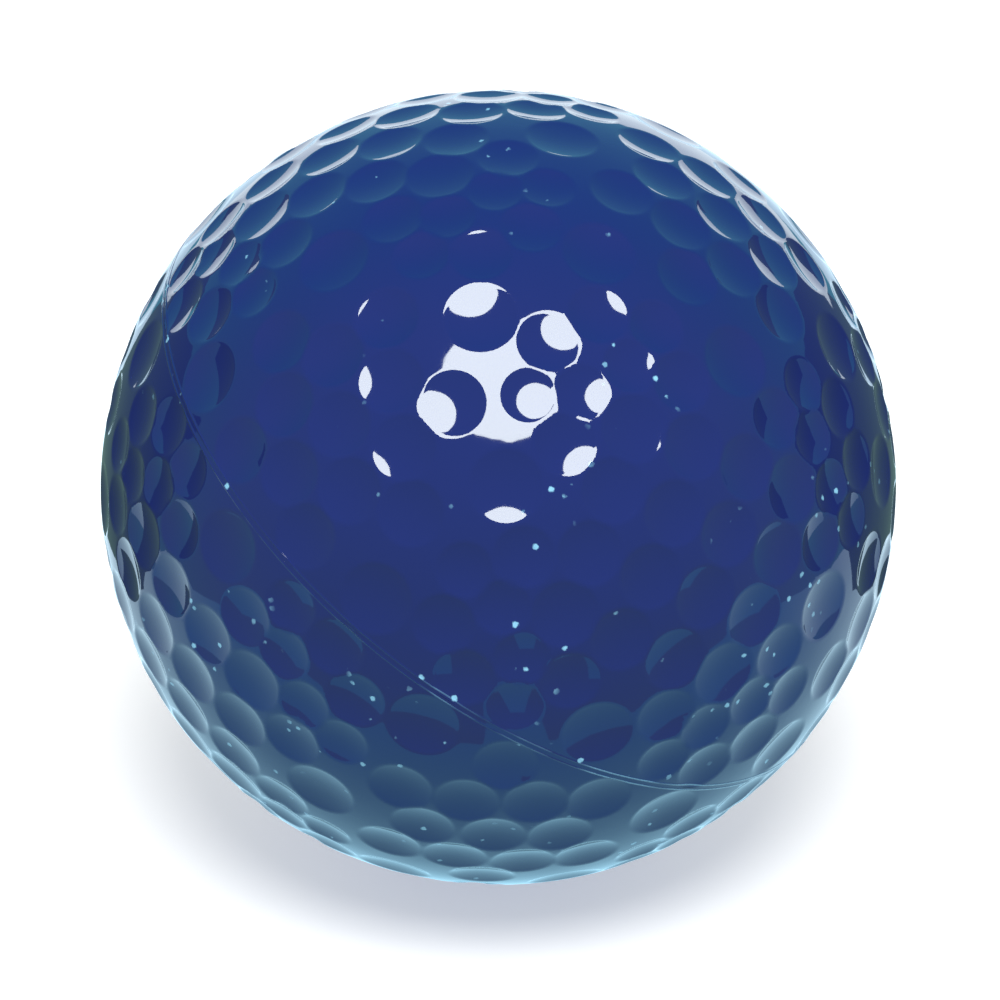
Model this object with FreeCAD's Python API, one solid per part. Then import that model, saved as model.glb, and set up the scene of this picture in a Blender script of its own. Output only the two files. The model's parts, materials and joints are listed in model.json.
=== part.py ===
import FreeCAD, Part
import math
import os

# Golf ball, two-piece: a rubber core inside an ionomer cover that is moulded from two half shells.
# Millimetres, origin at the ball's centre, +Z up as the ball lies on the ground.

# The ball and its layers
BALL_DIAMETER = 42.67
COVER_THICKNESS = 1.95
CORE_CLEARANCE = 0.0

# Mouth diameters of the dimples
NARROW_DIMPLE = 2.7
SMALL_DIMPLE = 3.0
MIDDLE_DIMPLE = 3.2
BROAD_DIMPLE = 3.35
LARGE_DIMPLE = 3.6

# Angle at a dimple's rim between its wall and the ball's round surface
RIM_ANGLE = 16.5

# How the ball lies: the mould axis leans from upright towards a heading, and the ball is spun about it
MOULD_AXIS_LEAN = 34.3
MOULD_AXIS_HEADING = -8.7
MOULD_AXIS_SPIN = 23.3

# Four bare lanes, each a great circle, divide the ball into 8 triangles and 6 squares of dimples. The
# lanes are square to the four body diagonals of a cube, so one triangle and one square give the whole
# pattern. A site is (degrees from the middle of the group, degrees of turn about that middle, mouth).
# The turn is counted from the middle of a triangle's side, and from a square's corner.
TRIANGLE_SITES = (
    (0.0, 0.0, MIDDLE_DIMPLE),
    (9.5, 60.0, MIDDLE_DIMPLE),
    (10.2, 0.0, MIDDLE_DIMPLE),
    (16.5, 30.0, MIDDLE_DIMPLE),
    (25.1, 60.0, LARGE_DIMPLE),
)
SQUARE_SITES = (
    (6.7, 0.0, MIDDLE_DIMPLE),
    (15.3, 27.0, MIDDLE_DIMPLE),
    (20.0, 0.0, BROAD_DIMPLE),
    (29.1, 45.0, LARGE_DIMPLE),
    (24.6, 24.5, SMALL_DIMPLE),
    (28.2, 8.7, NARROW_DIMPLE),
    (32.9, 20.4, NARROW_DIMPLE),
    (36.8, 7.1, SMALL_DIMPLE),
)

BALL_RADIUS = BALL_DIAMETER / 2
CORE_RADIUS = BALL_RADIUS - COVER_THICKNESS

UPRIGHT = FreeCAD.Vector(0, 0, 1)
ACROSS = FreeCAD.Vector(0, 1, 0)
SAME_DIRECTION = 1e-6

# A dimple's tool stands above the ball, and its side clears the mouth by a little
TOOL_RISE = 0.5
TOOL_MARGIN = 0.02


def group_directions(middle, start, sites):
    """Directions of one group's sites from the ball's centre, each with its mouth diameter."""
    side = middle.cross(start)
    directions = []
    for distance, turn, mouth in sites:
        away = math.radians(distance)
        around = math.radians(turn)
        outward = start * math.cos(around) + side * math.sin(around)
        directions.append((middle * math.cos(away) + outward * math.sin(away), mouth))
    return directions


def cube_copies(direction):
    """The places that the turns and mirrors of a cube give to one direction, each once."""
    x, y, z = direction
    orders = ((x, y, z), (y, z, x), (z, x, y), (x, z, y), (z, y, x), (y, x, z))
    signs = [(i, j, k) for i in (1, -1) for j in (1, -1) for k in (1, -1)]
    copies = []
    for order in orders:
        for sign in signs:
            copy = FreeCAD.Vector(*(size * way for size, way in zip(order, sign)))
            if all(copy.distanceToPoint(other) > SAME_DIRECTION for other in copies):
                copies.append(copy)
    return copies


def dimple_pattern():
    """Every dimple of the ball, as (direction, mouth), with the mould axis along +Z."""
    triangle_middle = FreeCAD.Vector(1, 1, 1).normalize()
    triangle_side = FreeCAD.Vector(2, -1, -1).normalize()
    square_middle = FreeCAD.Vector(1, 0, 0)
    square_corner = FreeCAD.Vector(0, 1, 0)
    sites = group_directions(triangle_middle, triangle_side, TRIANGLE_SITES)
    sites += group_directions(square_middle, square_corner, SQUARE_SITES)

    lane_crossing = FreeCAD.Vector(1, -1, 0).normalize()
    to_mould = FreeCAD.Rotation(
        lane_crossing, triangle_middle.cross(lane_crossing), triangle_middle, "ZXY"
    ).inverted()
    return [(to_mould.multVec(copy), mouth) for site, mouth in sites for copy in cube_copies(site)]


def dimple_tool(mouth):
    """The lens that presses a dimple at the top of the ball: its round side meets the ball at the mouth."""
    mouth_spread = math.asin(mouth / 2 / BALL_RADIUS)
    wall_spread = math.radians(RIM_ANGLE) - mouth_spread
    wall_radius = mouth / 2 / math.sin(wall_spread)
    wall = Part.makeSphere(wall_radius)
    # The sphere's own axis lies across, so that no pole or seam of it falls in the dimple
    wall.rotate(FreeCAD.Vector(), ACROSS, 90)
    wall.translate(UPRIGHT * (BALL_RADIUS * math.cos(mouth_spread) + wall_radius * math.cos(wall_spread)))
    top = BALL_RADIUS + TOOL_RISE
    side_spread = mouth_spread + TOOL_MARGIN / BALL_RADIUS
    return wall.common(Part.makeCone(0, top * math.tan(side_spread), top))


def half_ball(radius, above):
    """Half of a ball, above or below the parting plane."""
    low, high = (0, 90) if above else (-90, 0)
    return Part.makeSphere(radius, FreeCAD.Vector(), UPRIGHT, low, high, 360)


def cover_half(pattern, above):
    """One half shell of the cover with its dimples; no dimple crosses the parting plane."""
    shell = half_ball(BALL_RADIUS, above).cut(Part.makeSphere(CORE_RADIUS))
    tools = {mouth: dimple_tool(mouth) for _, mouth in pattern}
    placed = []
    for direction, mouth in pattern:
        if (direction.z > 0) == above:
            turn = FreeCAD.Placement(FreeCAD.Vector(), FreeCAD.Rotation(UPRIGHT, direction))
            placed.append(tools[mouth].transformed(turn.Matrix))
    return shell.cut(placed)


def core():
    """The rubber core, which fills the cover."""
    return Part.makeSphere(CORE_RADIUS - CORE_CLEARANCE)


def lie_on_ground(shape):
    """Turn a piece from the mould axes to the way the ball lies."""
    turned = shape.copy()
    turned.rotate(FreeCAD.Vector(), UPRIGHT, MOULD_AXIS_SPIN)
    turned.rotate(FreeCAD.Vector(), FreeCAD.Vector(0, 1, 0), MOULD_AXIS_LEAN)
    turned.rotate(FreeCAD.Vector(), UPRIGHT, MOULD_AXIS_HEADING)
    return turned


os.makedirs("parts", exist_ok=True)
pattern = dimple_pattern()
pieces = {
    "core": core(),
    "cover_upper_half": cover_half(pattern, True),
    "cover_lower_half": cover_half(pattern, False),
}
for name, shape in pieces.items():
    piece = lie_on_ground(shape)
    piece.exportStep(f"parts/{name}.step")
    print(name, piece.ShapeType, "solids", len(piece.Solids), "volume", round(piece.Volume, 1))
print("dimples", len(pattern))
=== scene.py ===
import json
import math

import bpy
import numpy as np
from mathutils import Matrix, Vector
from mathutils.geometry import delaunay_2d_cdt

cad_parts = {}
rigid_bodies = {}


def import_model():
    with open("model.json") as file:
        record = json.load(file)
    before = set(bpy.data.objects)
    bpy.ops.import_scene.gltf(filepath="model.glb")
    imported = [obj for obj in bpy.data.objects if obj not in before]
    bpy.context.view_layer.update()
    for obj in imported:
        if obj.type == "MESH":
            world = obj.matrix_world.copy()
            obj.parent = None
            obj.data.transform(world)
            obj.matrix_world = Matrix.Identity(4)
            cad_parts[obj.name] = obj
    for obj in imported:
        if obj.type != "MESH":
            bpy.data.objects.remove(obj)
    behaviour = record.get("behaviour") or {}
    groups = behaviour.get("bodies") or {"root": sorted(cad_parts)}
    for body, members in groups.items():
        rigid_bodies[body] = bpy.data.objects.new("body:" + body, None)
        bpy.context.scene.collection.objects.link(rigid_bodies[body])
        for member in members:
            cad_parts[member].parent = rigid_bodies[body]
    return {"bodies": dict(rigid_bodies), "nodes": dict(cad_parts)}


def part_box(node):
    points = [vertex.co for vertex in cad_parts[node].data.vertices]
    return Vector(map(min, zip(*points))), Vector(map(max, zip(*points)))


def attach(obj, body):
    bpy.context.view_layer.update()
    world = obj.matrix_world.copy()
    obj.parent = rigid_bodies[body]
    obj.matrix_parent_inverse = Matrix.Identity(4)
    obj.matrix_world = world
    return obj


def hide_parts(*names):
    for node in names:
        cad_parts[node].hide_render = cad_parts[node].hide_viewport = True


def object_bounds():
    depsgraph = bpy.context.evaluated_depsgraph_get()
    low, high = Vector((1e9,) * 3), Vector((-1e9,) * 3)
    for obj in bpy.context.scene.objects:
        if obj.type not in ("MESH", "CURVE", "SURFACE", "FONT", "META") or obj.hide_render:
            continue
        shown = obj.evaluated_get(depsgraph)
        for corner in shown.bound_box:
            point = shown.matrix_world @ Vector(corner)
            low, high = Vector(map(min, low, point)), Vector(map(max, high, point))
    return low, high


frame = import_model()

cad_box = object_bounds()
BODY = next(iter(frame["bodies"]))


# Cover, the pattern. Golf balls get their dimples from the mould: here four bare lanes, each a great
# circle, divide the ball into 8 triangles and 6 squares, which hold 440 dimples in five widths. The
# lanes are square to the four body diagonals of a cube, so one triangle and one square give them all.
MM = 0.001
NARROW, SMALL, MIDDLE, BROAD, LARGE = 2.7, 3.0, 3.2, 3.35, 3.6

# A site is (degrees from the middle of its group, degrees of turn about that middle, mouth in mm). The
# turn is counted from the middle of a triangle's side, and from a square's corner.
TRIANGLE_SITES = (
    (0.0, 0.0, MIDDLE),
    (9.5, 60.0, MIDDLE),
    (10.2, 0.0, MIDDLE),
    (16.5, 30.0, MIDDLE),
    (25.1, 60.0, LARGE),
)
SQUARE_SITES = (
    (6.7, 0.0, MIDDLE),
    (15.3, 27.0, MIDDLE),
    (20.0, 0.0, BROAD),
    (29.1, 45.0, LARGE),
    (24.6, 24.5, SMALL),
    (28.2, 8.7, NARROW),
    (32.9, 20.4, NARROW),
    (36.8, 7.1, SMALL),
)

# The mould axis leans this far from upright, towards this heading, and the ball is spun about it
LEAN, HEADING, SPIN = 34.3, -8.7, 23.3


def unit(*values):
    vector = np.array(values, float)
    return vector / np.linalg.norm(vector)


def group(middle, start, sites):
    """Directions of one group's sites from the ball's centre."""
    away, around = np.radians([site[:2] for site in sites]).T
    side = np.cross(middle, start)
    outward = np.outer(np.cos(around), start) + np.outer(np.sin(around), side)
    return np.cos(away)[:, None] * middle + np.sin(away)[:, None] * outward


def dimple_pattern():
    """Directions and mouths (mm) of all dimples, with the mould axis along +Z."""
    first = np.vstack((
        group(unit(1, 1, 1), unit(2, -1, -1), TRIANGLE_SITES),
        group(unit(1, 0, 0), unit(0, 1, 0), SQUARE_SITES),
    ))
    mouths = [site[2] for site in TRIANGLE_SITES + SQUARE_SITES]
    turns = [
        np.diag(1 - 2 * np.array(flips)) @ np.eye(3)[list(order)]
        for flips in np.ndindex(2, 2, 2)
        for order in ((0, 1, 2), (1, 2, 0), (2, 0, 1), (0, 2, 1), (2, 1, 0), (1, 0, 2))
    ]
    mould = np.array([unit(1, -1, 0), unit(1, 1, -2), unit(1, 1, 1)])
    found = {}
    for direction, mouth in zip(first, mouths):
        for turn in turns:
            place = mould @ turn @ direction
            found[tuple(np.round(place, 5) + 0.0)] = (place, mouth)
    places, widths = zip(*found.values())
    return np.array(places), np.array(widths)


# Cover, the shape. Each half shell is moulded ionomer, about 2 mm thick, with shallow round dimples
# whose rims the lacquer has softened. Where the mould halves met, the buffed flash leaves a low band
# round the ball, with two fine edges, lower and narrower in some stretches than in others.
LAND_RADIUS = min(high - low for low, high in zip(*cad_box)) / 2 / MM
SEAT_RADIUS = max(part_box("core")[1]) / MM
LAND_DROP = 0.034
WALL_ANGLE = 16.0
LIP_ANGLE = 1.5
LIP_WIDTH = 0.07
RIM_ROUND = 0.35
BAND_HEIGHT = 0.01
BAND_HALF_WIDTH = 0.17
RIDGE_HEIGHT = 0.035
RIDGE_WIDTH = 0.045
RIM_POINT_SPACING = 0.27
LAND_POINT_SPACING = 0.33
SEAT_POINT_SPACING = 1.4
SEAM_POINTS = 720

# Least gaps in mm: rim rings to their neighbours' and to the seam's rows, land points to rims and seam
NEIGHBOUR_GAP = 0.03
SEAM_GAP = 0.05
LAND_RIM_GAP = 0.1
LAND_SEAM_GAP = 0.12

GOLDEN_ANGLE = math.pi * (3 - math.sqrt(5))
RINGS_INSIDE = (0.2, 0.4, 0.58, 0.74, 0.86)
RINGS_AT_RIM = (-0.13, -0.06, 0.0, 0.07, 0.14, 0.21, 0.29, 0.38)
SEAM_ROWS = (0.0, 0.05, 0.09, 0.113, 0.134, 0.152, 0.17, 0.188, 0.206, 0.227, 0.26, 0.31)


def dimple_profile(mouth):
    """Slope and depth of a dimple against the distance from its middle, out over its rounded rim."""
    reach = np.linspace(0, mouth / 2 + RIM_ROUND, 160)
    ramp = np.clip((reach[-1] - reach) / RIM_ROUND, 0, 1)
    wall = math.tan(math.radians(WALL_ANGLE)) * reach / (mouth / 2)
    lip = math.tan(math.radians(LIP_ANGLE)) * np.exp(-((reach - mouth / 2) / LIP_WIDTH) ** 2)
    slope = (wall + lip) * ramp * ramp * (3 - 2 * ramp)
    steps = (slope[1:] + slope[:-1]) / 2 * np.diff(reach)
    return reach, slope, np.append(np.cumsum(steps[::-1])[::-1], 0)


def surface(points, centres, mouths):
    """Places and normals of the cover's outside for directions from the ball's centre."""
    depth = np.zeros(len(points))
    downhill = np.zeros((len(points), 3))
    for centre, mouth in zip(centres, mouths):
        reach, slope, drop = dimple_profile(mouth)
        near = np.flatnonzero(points @ centre > math.cos(reach[-1] / LAND_RADIUS))
        cosine = np.clip(points[near] @ centre, -1, 1)
        arc = np.arccos(cosine) * LAND_RADIUS
        depth[near] += np.interp(arc, reach, drop)
        inward = centre - cosine[:, None] * points[near]
        inward /= np.linalg.norm(inward, axis=1)[:, None] + 1e-12
        downhill[near] += np.interp(arc, reach, slope)[:, None] * inward

    latitude = np.arcsin(np.clip(points[:, 2], -1, 1)) * LAND_RADIUS
    longitude = np.arctan2(points[:, 1], points[:, 0])
    worn = 0.65 + 0.25 * np.sin(3 * longitude + 0.6) * np.sin(5 * longitude + 1.1)
    worn += 0.1 * np.sin(41 * longitude) * np.sin(67 * longitude + 2)
    off_ridge = np.abs(latitude) - BAND_HALF_WIDTH
    ridge = RIDGE_HEIGHT * worn * np.exp(-((off_ridge / RIDGE_WIDTH) ** 2))
    band = BAND_HEIGHT * worn / (1 + np.exp(off_ridge / RIDGE_WIDTH * 2))
    depth += LAND_DROP - ridge - band
    fall = ridge * 2 * off_ridge / RIDGE_WIDTH**2
    fall += band * (1 - band / BAND_HEIGHT / worn) * 2 / RIDGE_WIDTH
    fall *= np.sign(latitude)
    north = np.array([0, 0, 1]) - points[:, 2:] * points
    downhill += fall[:, None] * north

    normals = points + downhill
    normals /= np.linalg.norm(normals, axis=1)[:, None]
    return points * (LAND_RADIUS - depth)[:, None], normals


def around(centre, arc, count):
    """Directions on a circle about a direction, arc (mm) away from it."""
    first = unit(*np.cross(centre, (0.3, 0.5, 0.8)))
    second = np.cross(centre, first)
    turn = np.arange(count) * 2 * math.pi / count
    spread = arc / LAND_RADIUS
    ring = np.outer(np.cos(turn), first) + np.outer(np.sin(turn), second)
    return math.cos(spread) * centre + math.sin(spread) * ring


def scattered(spacing):
    """Directions spread evenly over the upper half, about spacing (mm) apart."""
    count = int(2 * math.pi * LAND_RADIUS**2 / (spacing**2 * 0.9))
    height = (np.arange(count) + 0.5) / count
    turn = np.arange(count) * GOLDEN_ANGLE
    level = np.sqrt(1 - height**2)
    return np.column_stack((level * np.cos(turn), level * np.sin(turn), height))


def equator_row(height):
    """Directions of a row round the parting plane, at a height (mm) above it."""
    turn = np.arange(SEAM_POINTS) * 2 * math.pi / SEAM_POINTS
    rise = height / LAND_RADIUS
    flat = np.column_stack((np.cos(turn), np.sin(turn))) * math.cos(rise)
    return np.column_stack((flat, np.full(SEAM_POINTS, math.sin(rise))))


def triangles(points):
    """Joins directions of the upper half into triangles, laid flat as seen from the lower pole."""
    flat = points[:, :2] / (1 + points[:, 2:])
    _, _, faces, kept, _, _ = delaunay_2d_cdt([Vector(p) for p in flat], [], [], 0, 1e-9, True)
    return [[kept[corner][0] for corner in face] for face in faces]


def outside_points(centres, mouths):
    """The seam's rows, then each dimple's rings up to its share of the land, then the bare land."""
    rows = np.vstack([equator_row(height) for height in SEAM_ROWS])

    def beyond_rim(points):
        return np.arccos(np.clip(points @ centres.T, -1, 1)) * LAND_RADIUS - mouths / 2

    kept = [rows]
    for index, (centre, mouth) in enumerate(zip(centres, mouths)):
        kept.append(centre[None])
        for share in RINGS_INSIDE:
            count = max(6, round(math.pi * mouth * share / RIM_POINT_SPACING / 1.2))
            kept.append(around(centre, share * mouth / 2, count))
        count = round(math.pi * mouth / RIM_POINT_SPACING)
        for beyond in RINGS_AT_RIM:
            ring = around(centre, mouth / 2 + beyond, count)
            rims = beyond_rim(ring)
            nearest = rims.min(axis=1)
            mine = rims[:, index] <= nearest + 1e-6
            mine &= ring[:, 2] * LAND_RADIUS > SEAM_ROWS[-1] + SEAM_GAP
            others = np.sort(rims, axis=1)[:, 1]
            kept.append(ring[mine & (others - rims[:, index] > NEIGHBOUR_GAP)])
    land = scattered(LAND_POINT_SPACING)
    clear = beyond_rim(land).min(axis=1) > RINGS_AT_RIM[-1] + LAND_RIM_GAP
    kept.append(land[clear & (land[:, 2] * LAND_RADIUS > SEAM_ROWS[-1] + LAND_SEAM_GAP)])
    return np.vstack(kept)


def half_shell(name, side, lie, centres, mouths):
    """One half of the cover: dimpled outside, flat joint at the parting plane, round seat inside."""
    mirror = np.array([1, 1, side])
    mine = centres[:, 2] * side > 0
    outside = outside_points(centres[mine] * mirror, mouths[mine])
    places, normals = surface(outside, centres[mine] * mirror, mouths[mine])
    seat = scattered(SEAT_POINT_SPACING)
    seat = np.vstack((equator_row(0), seat[seat[:, 2] > 0.05]))
    start = len(outside)
    faces = triangles(outside)
    faces += [[start + corner for corner in reversed(face)] for face in triangles(seat)]
    for i in range(SEAM_POINTS):
        j = (i + 1) % SEAM_POINTS
        faces.append([i, start + i, start + j, j])
    if side < 0:
        faces = [face[::-1] for face in faces]
    places = np.vstack((places, seat * SEAT_RADIUS)) * mirror
    normals = np.vstack((normals, -seat)) * mirror
    mesh = bpy.data.meshes.new(name)
    mesh.from_pydata((places @ lie.T * MM).tolist(), [], faces)
    mesh.validate()
    mesh.shade_smooth()
    mesh.normals_split_custom_set_from_vertices((normals @ lie.T).tolist())
    piece = bpy.data.objects.new(name, mesh)
    bpy.context.collection.objects.link(piece)
    return piece


def rotation(degrees, axis):
    return np.array(Matrix.Rotation(math.radians(degrees), 3, axis))


centres, mouths = dimple_pattern()
lie = rotation(HEADING, "Z") @ rotation(LEAN, "Y") @ rotation(SPIN, "Z")
upper_half = half_shell("dimpled_upper_half", 1, lie, centres, mouths)
lower_half = half_shell("dimpled_lower_half", -1, lie, centres, mouths)
for piece, node in ((upper_half, "cover_upper_half"), (lower_half, "cover_lower_half")):
    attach(piece, BODY)
    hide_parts(node)


# Cover, the finish. Navy ionomer, pigmented through, under a clear two-part polyurethane lacquer: deep
# gloss, a faint orange peel, pale specks that are partly dust and partly painted glints, and painted
# highlight lines along the edges of the flash.
def linear(code):
    """A linear colour from an sRGB hex value."""
    channels = [int(code[i:i + 2], 16) / 255 for i in (0, 2, 4)]
    return [c / 12.92 if c <= 0.04045 else ((c + 0.055) / 1.055) ** 2.4 for c in channels] + [1.0]


def add(tree, kind, inputs=(), **settings):
    """Adds a node, sets its options, and sets or links its inputs by name."""
    node = tree.nodes.new(kind)
    for name, value in settings.items():
        setattr(node, name, value)
    for name, value in dict(inputs).items():
        if isinstance(value, bpy.types.NodeSocket):
            tree.links.new(value, node.inputs[name])
        else:
            node.inputs[name].default_value = value
    return node


def new_material(name):
    material = bpy.data.materials.new(name)
    material.use_nodes = True
    material.node_tree.nodes.clear()
    return material, material.node_tree


navy, tree = new_material("lacquered_navy_ionomer")
where = add(tree, "ShaderNodeTexCoord").outputs["Object"]

# Pigment drifts a little between darker and lighter navy over about 12 mm
drift = add(tree, "ShaderNodeTexNoise", {"Vector": where, "Scale": 1 / (12 * MM), "Detail": 2.0})
pigment = add(tree, "ShaderNodeMix", {"Factor": drift.outputs["Fac"]}, data_type="RGBA")
pigment.inputs["A"].default_value = linear("0C1660")
pigment.inputs["B"].default_value = linear("0F1968")

# Dust and painted glints: pale specks up to 0.25 mm across, partly grains of dust that the lacquer set
# round and partly painted glints that stand in for the softbox's light caught on them, in clusters,
# with more of them low down and a string of them along the buffed parting line
ragged = add(tree, "ShaderNodeTexNoise", {"Vector": where, "Scale": 1 / (0.25 * MM)})
shift = add(tree, "ShaderNodeVectorMath", {
    0: ragged.outputs["Color"], 1: (0.2 * MM,) * 3,
}, operation="MULTIPLY")
spot = add(tree, "ShaderNodeVectorMath", {0: where, 1: shift.outputs["Vector"]}, operation="ADD")
grain = add(tree, "ShaderNodeTexVoronoi", {"Vector": spot.outputs["Vector"], "Scale": 1 / (1.3 * MM)})
heart = add(tree, "ShaderNodeMapRange", {
    "Value": grain.outputs["Distance"], "From Min": 0.15, "From Max": 0.08,
}, interpolation_type="SMOOTHSTEP")
cluster = add(tree, "ShaderNodeTexNoise", {"Vector": where, "Scale": 1 / (6 * MM), "Detail": 1.0})
rise = add(tree, "ShaderNodeSeparateXYZ", {0: where})
low_side = add(tree, "ShaderNodeMath", {
    0: rise.outputs["Z"], 1: -0.1 / (20 * MM), 2: cluster.outputs["Fac"],
}, operation="MULTIPLY_ADD")
above_line = add(tree, "ShaderNodeVectorMath", {0: where, 1: tuple(lie[:, 2])}, operation="DOT_PRODUCT")
off_line = add(tree, "ShaderNodeMath", {0: above_line.outputs["Value"]}, operation="ABSOLUTE")
on_line = add(tree, "ShaderNodeMapRange", {
    "Value": off_line.outputs[0], "From Min": 0.5 * MM, "From Max": 0.3 * MM, "To Max": 0.14,
})
gathered = add(tree, "ShaderNodeMath", {0: low_side.outputs[0], 1: on_line.outputs["Result"]})
dust_and_glint_zone = add(tree, "ShaderNodeMapRange", {
    "Value": gathered.outputs[0], "From Min": 0.5, "From Max": 0.58,
})
# Where the pale specks go: dust, and painted glints
dust_and_glints = add(tree, "ShaderNodeMath", {
    0: heart.outputs["Result"], 1: dust_and_glint_zone.outputs["Result"],
}, operation="MULTIPLY")

# Painted highlight: pale lines painted along the two fine edges of the flash in places, more of them
# low down, standing in for the glints these edges catch
edge = add(tree, "ShaderNodeMath", {
    0: off_line.outputs[0], 1: BAND_HALF_WIDTH * MM, 2: 0.04 * MM,
}, operation="COMPARE")
edge_glint_noise = add(tree, "ShaderNodeTexNoise", {"Vector": where, "Scale": 1 / (5 * MM), "Detail": 3.0})
edge_glint_low = add(tree, "ShaderNodeMath", {
    0: rise.outputs["Z"], 1: -0.25 / (10 * MM), 2: edge_glint_noise.outputs["Fac"],
}, operation="MULTIPLY_ADD")
edge_glint_amount = add(tree, "ShaderNodeMapRange", {
    "Value": edge_glint_low.outputs[0], "From Min": 0.48, "From Max": 0.66, "To Max": 0.5,
})
# The painted highlight lines on the flash edges
painted_edge_glint = add(tree, "ShaderNodeMath", {
    0: edge.outputs[0], 1: edge_glint_amount.outputs["Result"],
}, operation="MULTIPLY")
# Dust, painted glints and painted highlight lines, joined into one pale mask
pale = add(tree, "ShaderNodeMath", {0: dust_and_glints.outputs[0], 1: painted_edge_glint.outputs[0]}, operation="MAXIMUM")
pigment_dust_and_glints = add(tree, "ShaderNodeMix", {"Factor": pale.outputs[0]}, data_type="RGBA")
tree.links.new(pigment.outputs["Result"], pigment_dust_and_glints.inputs["A"])
# Pale cyan of the dust and of the painted glints and highlight lines
pigment_dust_and_glints.inputs["B"].default_value = linear("8CCBEA")

# Orange peel of the lacquer, waves about 1.2 mm long and a few microns high
peel = add(tree, "ShaderNodeTexNoise", {"Vector": where, "Scale": 1 / (1.2 * MM), "Detail": 1.0})
peel_bump = add(tree, "ShaderNodeBump", {"Height": peel.outputs["Fac"], "Distance": 0.006 * MM})
gloss = add(tree, "ShaderNodeBsdfPrincipled", {
    "Base Color": pigment_dust_and_glints.outputs["Result"],
    "Roughness": 0.04,
    "IOR": 1.5,
    "Normal": peel_bump.outputs["Normal"],
})
add(tree, "ShaderNodeOutputMaterial", {"Surface": gloss.outputs["BSDF"]})
for piece in (upper_half, lower_half):
    piece.data.materials.append(navy)


# Core. A ball of crosslinked polybutadiene rubber that fills the cover. It is sealed in, so its skin
# keeps the matt, slightly mottled look of the press.
rubber, tree = new_material("pressed_polybutadiene_rubber")
where = add(tree, "ShaderNodeTexCoord").outputs["Object"]
mottle = add(tree, "ShaderNodeTexNoise", {"Vector": where, "Scale": 1 / (3 * MM), "Detail": 4.0})
tone = add(tree, "ShaderNodeMix", {"Factor": mottle.outputs["Fac"]}, data_type="RGBA")
tone.inputs["A"].default_value = linear("2F6F86")
tone.inputs["B"].default_value = linear("3C8298")
grit = add(tree, "ShaderNodeTexNoise", {"Vector": where, "Scale": 1 / (0.3 * MM), "Detail": 2.0})
grit_bump = add(tree, "ShaderNodeBump", {"Height": grit.outputs["Fac"], "Distance": 0.02 * MM})
matt = add(tree, "ShaderNodeBsdfPrincipled", {
    "Base Color": tone.outputs["Result"],
    "Roughness": 0.75,
    "IOR": 1.52,
    "Normal": grit_bump.outputs["Normal"],
})
add(tree, "ShaderNodeOutputMaterial", {"Surface": matt.outputs["BSDF"]})
core = frame["nodes"]["core"]
for slot in core.material_slots:
    slot.material = rubber


# Stage. A pale floor under the ball, one large round softbox above and in front, soft fill that the
# gloss does not see, and pale and dark cards that only the gloss sees.
RADIUS = LAND_RADIUS * MM
FLOOR_Z = cad_box[0][2]
CAMERA_RISE = 30.5
CAMERA_DISTANCE = 0.6

bpy.ops.mesh.primitive_plane_add(size=40, location=(0, 0, FLOOR_Z))
floor = bpy.context.object
floor.name = "floor"
floor.visible_glossy = False
floor.visible_diffuse = False
pale, tree = new_material("pale_floor")
matt = add(tree, "ShaderNodeBsdfPrincipled", {
    "Base Color": linear("F2F2F0"),
    "Roughness": 0.7,
    "Emission Color": linear("FFFFFF"),
    "Emission Strength": 0.4,
})
add(tree, "ShaderNodeOutputMaterial", {"Surface": matt.outputs["BSDF"]})
floor.data.materials.append(pale)


def glow_material(name, code, strength):
    material, tree = new_material(name)
    shader = add(tree, "ShaderNodeEmission", {"Color": linear(code), "Strength": strength})
    add(tree, "ShaderNodeOutputMaterial", {"Surface": shader.outputs["Emission"]})
    return material


def only_for_gloss(card):
    card.visible_camera = False
    card.visible_diffuse = False
    card.visible_transmission = False
    card.visible_shadow = False


def aim(thing, direction, distance):
    """Puts a camera, lamp or panel on a line from the ball's centre and turns its front to the ball."""
    thing.rotation_euler = direction.to_track_quat("Z", "Y").to_euler()
    thing.location = direction * distance


def heading(right, rise):
    """Direction from the ball's centre, in degrees to the right of the camera and above the floor."""
    a, b = math.radians(right), math.radians(rise)
    return Vector((math.sin(a) * math.cos(b), -math.cos(a) * math.cos(b), math.sin(b)))


SOFTBOX_RISE, SOFTBOX_RIGHT, SOFTBOX_DISTANCE = 60.9, 4.4, 0.5
SOFTBOX_RADIUS = SOFTBOX_DISTANCE * math.tan(math.radians(17.5))
bpy.ops.mesh.primitive_circle_add(vertices=96, radius=SOFTBOX_RADIUS, fill_type="NGON")
softbox = bpy.context.object
softbox.name = "softbox"
softbox.data.materials.append(glow_material("softbox_glow", "F2FAF6", 21.0))
aim(softbox, heading(SOFTBOX_RIGHT, SOFTBOX_RISE), SOFTBOX_DISTANCE)
only_for_gloss(softbox)

# The lamp of the softbox, which lights the ball and the floor but shows in no reflection
key_data = bpy.data.lights.new("key", "AREA")
key_data.shape = "DISK"
key_data.size = 0.3
key_data.energy = 2.65
key = bpy.data.objects.new("key", key_data)
key.visible_glossy = False
bpy.context.collection.objects.link(key)
aim(key, heading(SOFTBOX_RIGHT, SOFTBOX_RISE), SOFTBOX_DISTANCE)


# What only the gloss sees round the ball: the white sheet it lies on, which ends a little in front of
# it, the ball's own shade on the sheet, a low white backdrop behind, and a dark flag at each side
def card(name, corners, material):
    """A flat card through its corners, given in ball radii from the ball's centre."""
    mesh = bpy.data.meshes.new(name)
    mesh.from_pydata([[RADIUS * c for c in corner] for corner in corners], [], [range(len(corners))])
    mesh.materials.append(material)
    thing = bpy.data.objects.new(name, mesh)
    bpy.context.collection.objects.link(thing)
    only_for_gloss(thing)


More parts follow.
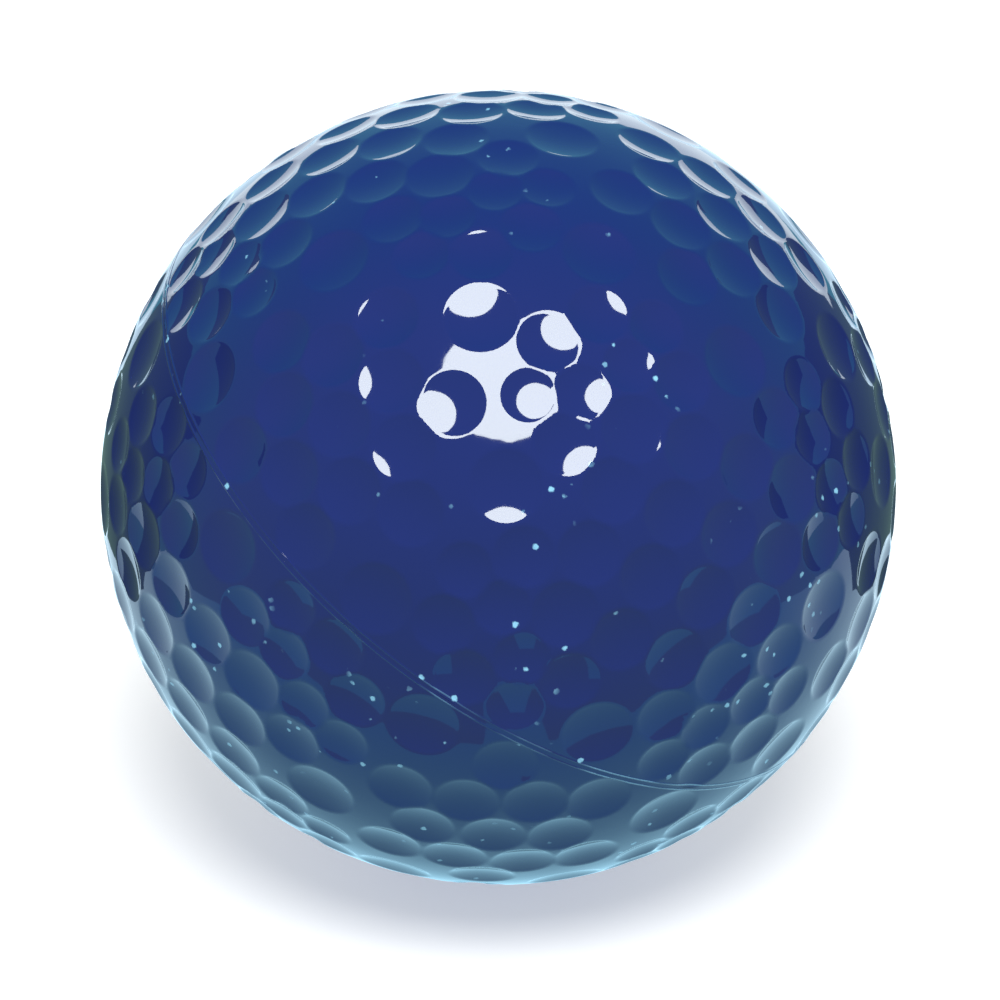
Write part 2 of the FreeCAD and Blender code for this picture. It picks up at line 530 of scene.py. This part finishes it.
def ramp(tree, value, low, high):
    return add(tree, "ShaderNodeMapRange", {"Value": value, "From Min": low, "From Max": high},
               interpolation_type="SMOOTHSTEP").outputs["Result"]


def two_tone(tree, amount, low, high):
    """From one sRGB hex colour to another."""
    mix = add(tree, "ShaderNodeMix", {"Factor": amount}, data_type="RGBA")
    mix.inputs["A"].default_value = linear(low)
    mix.inputs["B"].default_value = linear(high)
    return mix.outputs["Result"]


def rectangle(left, right, front, back):
    return [(left, front, -1), (right, front, -1), (right, back, -1), (left, back, -1)]


paper, tree = new_material("white_sheet_glow")
along = add(tree, "ShaderNodeSeparateXYZ", {0: add(tree, "ShaderNodeTexCoord").outputs["Object"]})
to_back = ramp(tree, along.outputs["Y"], -1.5 * RADIUS, 1.5 * RADIUS)
white = two_tone(tree, to_back, "80C4E2", "C6E2F2")
glow = add(tree, "ShaderNodeEmission", {"Color": white, "Strength": 2.0})
add(tree, "ShaderNodeOutputMaterial", {"Surface": glow.outputs["Emission"]})

# Heights and edges in ball radii: the shade and the dark ground lie just above the sheet
SHEET_FRONT = -1.72
SHADE_LEVEL = -0.998
DARK_LEVEL = -0.997
card("sheet", rectangle(-3.2, 3.2, SHEET_FRONT, 60), paper)
card("sheet_tongue", rectangle(-0.1, 0.35, -3.0, SHEET_FRONT), paper)
turns = np.arange(64) * math.pi / 32
shade = [(1.05 * math.cos(turn), 1.5 + 1.7 * math.sin(turn), SHADE_LEVEL) for turn in turns]
card("own_shade", shade, glow_material("shade_glow", "8FB0C4", 1.0))
card("backdrop", [(-6, 8, -1), (6, 8, -1), (6, 8, 1.2), (-6, 8, 1.2)],
     glow_material("backdrop_glow", "E4F4FA", 2.2))
flag = glow_material("grey_flag_glow", "6E8F87", 1.0)
for side in (-1, 1):
    near, far = (2.15 * side, 0.45), (1.2 * side, 1.8)
    wide, deep = [10 * c for c in near], [10 * c for c in far]
    card("dark_ground", [(*corner, DARK_LEVEL) for corner in (near, wide, deep, far)], flag)
    card("dark_flag", [(*wide, -1), (*deep, -1), (*deep, 3.0), (*wide, 3.0)], flag)

# The room: the gloss sees it paler in front and darker behind, and everything else gets an even fill
world = bpy.data.worlds.new("studio")
bpy.context.scene.world = world
world.use_nodes = True
tree = world.node_tree
tree.nodes.clear()
way = add(tree, "ShaderNodeSeparateXYZ", {0: add(tree, "ShaderNodeTexCoord").outputs["Generated"]})
tone = two_tone(tree, ramp(tree, way.outputs["Y"], -0.3, 0.7), "80A3AF", "5697A3")
room = add(tree, "ShaderNodeBackground", {"Color": tone, "Strength": 2.0})
fill = add(tree, "ShaderNodeBackground", {"Color": linear("FFFFFF"), "Strength": 0.45})
ray = add(tree, "ShaderNodeLightPath")
studio = add(tree, "ShaderNodeMixShader", {
    0: ray.outputs["Is Glossy Ray"], 1: fill.outputs["Background"], 2: room.outputs["Background"],
})
add(tree, "ShaderNodeOutputWorld", {"Surface": studio.outputs["Shader"]})

# The ball fills four fifths of the frame's width, a little above and left of the middle
BALL_WIDTH_SHARE = 0.797
camera_data = bpy.data.cameras.new("camera")
camera = bpy.data.objects.new("camera", camera_data)
bpy.context.collection.objects.link(camera)
bpy.context.scene.camera = camera
aim(camera, heading(0, CAMERA_RISE), CAMERA_DISTANCE)
tangent = RADIUS / math.sqrt(CAMERA_DISTANCE**2 - RADIUS**2)
camera_data.lens = BALL_WIDTH_SHARE * camera_data.sensor_width / 2 / tangent
camera_data.shift_x = 0.0016
camera_data.shift_y = -0.013
camera_data.clip_end = 100
bpy.context.scene.view_settings.view_transform = "Standard"
